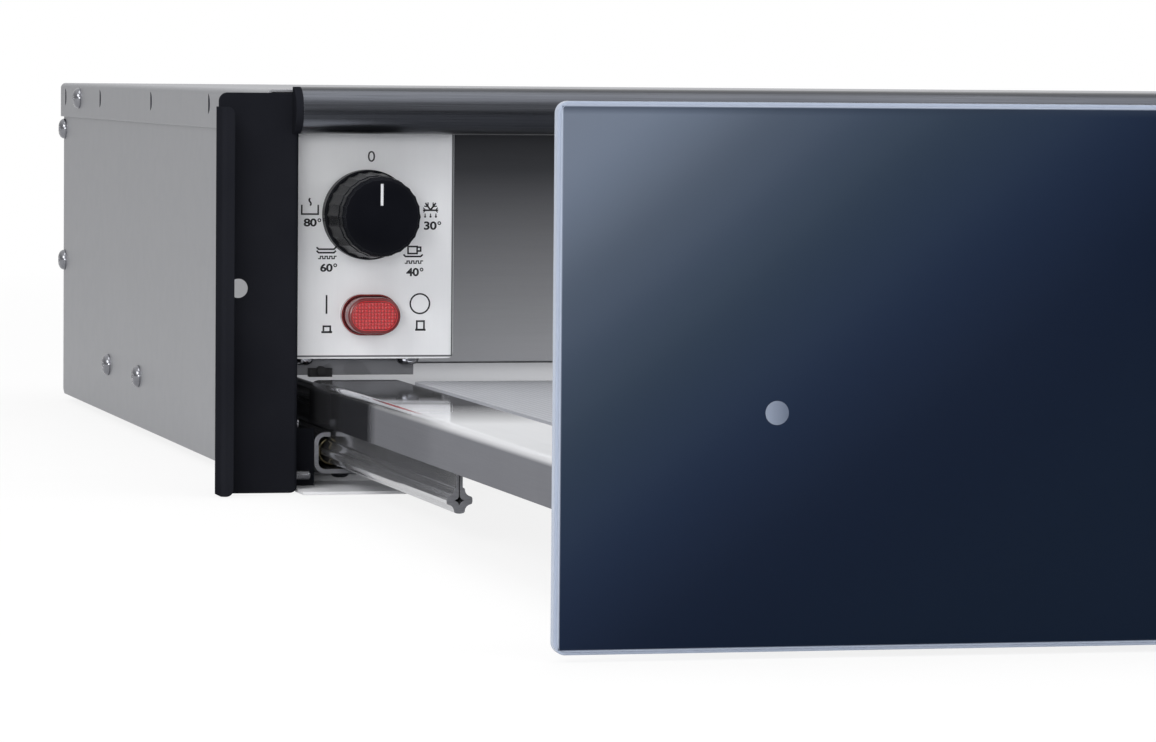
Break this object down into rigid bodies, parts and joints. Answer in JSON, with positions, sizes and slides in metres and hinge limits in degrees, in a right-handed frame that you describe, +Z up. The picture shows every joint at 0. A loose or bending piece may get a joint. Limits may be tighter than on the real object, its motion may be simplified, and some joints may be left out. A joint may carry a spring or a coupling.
{
  "type": "built-in warming drawer",
  "caption": "Built-in warming drawer, drawn out on ball-bearing runners, with a glass front, steel tray, knob and push button.",
  "frame": {"origin": "middle of the front flanges' face at the level of the niche floor, which is also the middle of the footprint with the drawer out, within a few millimetres", "axes": "+X to the right, +Y into the cabinet, +Z up"},
  "size_m": [0.595, 1.04, 0.1387],
  "materials": {
    "galvanised": "spangled satin",
    "black_frame": "semi-gloss powder coat",
    "bar_black": "satin",
    "bracket_light": "satin zinc",
    "cavity_steel": "brushed",
    "panel_steel": "fine brushed",
    "box_grey": "satin grey",
    "thermostat_body": "matte",
    "black_plastic": "matte",
    "knob_black": "fine grain",
    "button_red": "translucent gloss",
    "bezel_red": "gloss",
    "runner_zinc": "bright zinc",
    "cage_brass": "satin",
    "heater_sheath": "oxidised",
    "white_plastic": "matte",
    "screw_steel": "bright",
    "screw_dark": "black oxide",
    "shaft_steel": "turned",
    "tray_mirror": "mirror polished",
    "mat_grey": "dotted",
    "carrier_dark": "satin",
    "glass_blue": "back-painted gloss",
    "lens_clear": "gloss"
  },
  "bodies": {
    "cabinet": {"side_panel_left": "galvanised", "side_panel_right": "galvanised", "top_cover": "galvanised", "bottom_panel": "galvanised", "rear_panel": "galvanised", "front_flange_left": "black_frame", "front_flange_right": "black_frame", "top_bar": "bar_black", "bar_cap_left": "black_frame", "bar_cap_right": "black_frame", "corner_bracket_left": "bracket_light", "corner_bracket_right": "bracket_light", "liner_floor": "cavity_steel", "liner_back": "cavity_steel", "liner_side_left": "cavity_steel", "liner_side_right": "cavity_steel", "liner_roof": "cavity_steel", "control_panel": "panel_steel", "blank_panel": "panel_steel", "box_base_left": "box_grey", "box_base_right": "box_grey", "thermostat": "thermostat_body", "switch_body": "black_plastic", "switch_bezel": "bezel_red", "runner_support_left": "box_grey", "runner_support_right": "box_grey", "rail_fixed_left": "runner_zinc", "rail_fixed_right": "runner_zinc", "heater": "heater_sheath", "terminal_block": "white_plastic", "cable_gland": "black_plastic", "latch_body": "white_plastic", "rim_glide_left": "black_plastic", "rim_glide_right": "black_plastic", "casing_screws": "screw_steel", "panel_screws": "screw_dark", "flange_screws": "screw_steel", "rail_screws": "screw_dark"},
    "drawer": {"tray": "tray_mirror", "mat": "mat_grey", "front_carrier": "carrier_dark", "glass_front": "glass_blue", "indicator_lens": "lens_clear", "rail_drawer_left": "runner_zinc", "rail_drawer_right": "runner_zinc", "latch_striker": "runner_zinc", "front_screws": "screw_steel"},
    "middle_left": {"rail_middle_left": "runner_zinc"},
    "middle_right": {"rail_middle_right": "runner_zinc"},
    "balls_lower_left": {"cage_lower_left": "cage_brass"},
    "balls_lower_right": {"cage_lower_right": "cage_brass"},
    "balls_upper_left": {"cage_upper_left": "cage_brass"},
    "balls_upper_right": {"cage_upper_right": "cage_brass"},
    "control_knob": {"knob": "knob_black", "thermostat_shaft": "shaft_steel"},
    "push_button": {"switch_button": "button_red"},
    "catch": {"latch_plunger": "white_plastic"}
  },
  "joints": [
    {"name": "drawer_slide", "type": "slide", "parent": "cabinet", "child": "drawer", "axis": [0, 1, 0], "range_m": [0, 0.495]},
    {"name": "middle_left_slide", "type": "slide", "parent": "cabinet", "child": "middle_left", "axis": [0, 1, 0], "range_m": [0, 0.1862]},
    {"name": "middle_right_slide", "type": "slide", "parent": "cabinet", "child": "middle_right", "axis": [0, 1, 0], "range_m": [0, 0.1862]},
    {"name": "balls_lower_left_slide", "type": "slide", "parent": "cabinet", "child": "balls_lower_left", "axis": [0, 1, 0], "range_m": [0, 0.0932]},
    {"name": "balls_lower_right_slide", "type": "slide", "parent": "cabinet", "child": "balls_lower_right", "axis": [0, 1, 0], "range_m": [0, 0.0932]},
    {"name": "balls_upper_left_slide", "type": "slide", "parent": "cabinet", "child": "balls_upper_left", "axis": [0, 1, 0], "range_m": [0, 0.3407]},
    {"name": "balls_upper_right_slide", "type": "slide", "parent": "cabinet", "child": "balls_upper_right", "axis": [0, 1, 0], "range_m": [0, 0.3407]},
    {"name": "knob_turn", "type": "hinge", "parent": "cabinet", "child": "control_knob", "pos_m": [-0.241, 0.016, 0.0948], "axis": [0, 1, 0], "range_deg": [0, 270]},
    {"name": "button_press", "type": "slide", "parent": "cabinet", "child": "push_button", "axis": [0, 1, 0], "range_m": [0, 0.0035], "stiffness_N_per_m": 300},
    {"name": "catch_press", "type": "slide", "parent": "cabinet", "child": "catch", "axis": [0, 1, 0], "range_m": [0, 0.006], "stiffness_N_per_m": 400}
  ],
  "couplings": [
    {"joint": "middle_left_slide", "follows": "drawer_slide", "ratio": 0.376},
    {"joint": "middle_right_slide", "follows": "drawer_slide", "ratio": 0.376},
    {"joint": "balls_lower_left_slide", "follows": "drawer_slide", "ratio": 0.188},
    {"joint": "balls_lower_right_slide", "follows": "drawer_slide", "ratio": 0.188},
    {"joint": "balls_upper_left_slide", "follows": "drawer_slide", "ratio": 0.688},
    {"joint": "balls_upper_right_slide", "follows": "drawer_slide", "ratio": 0.688}
  ]
}
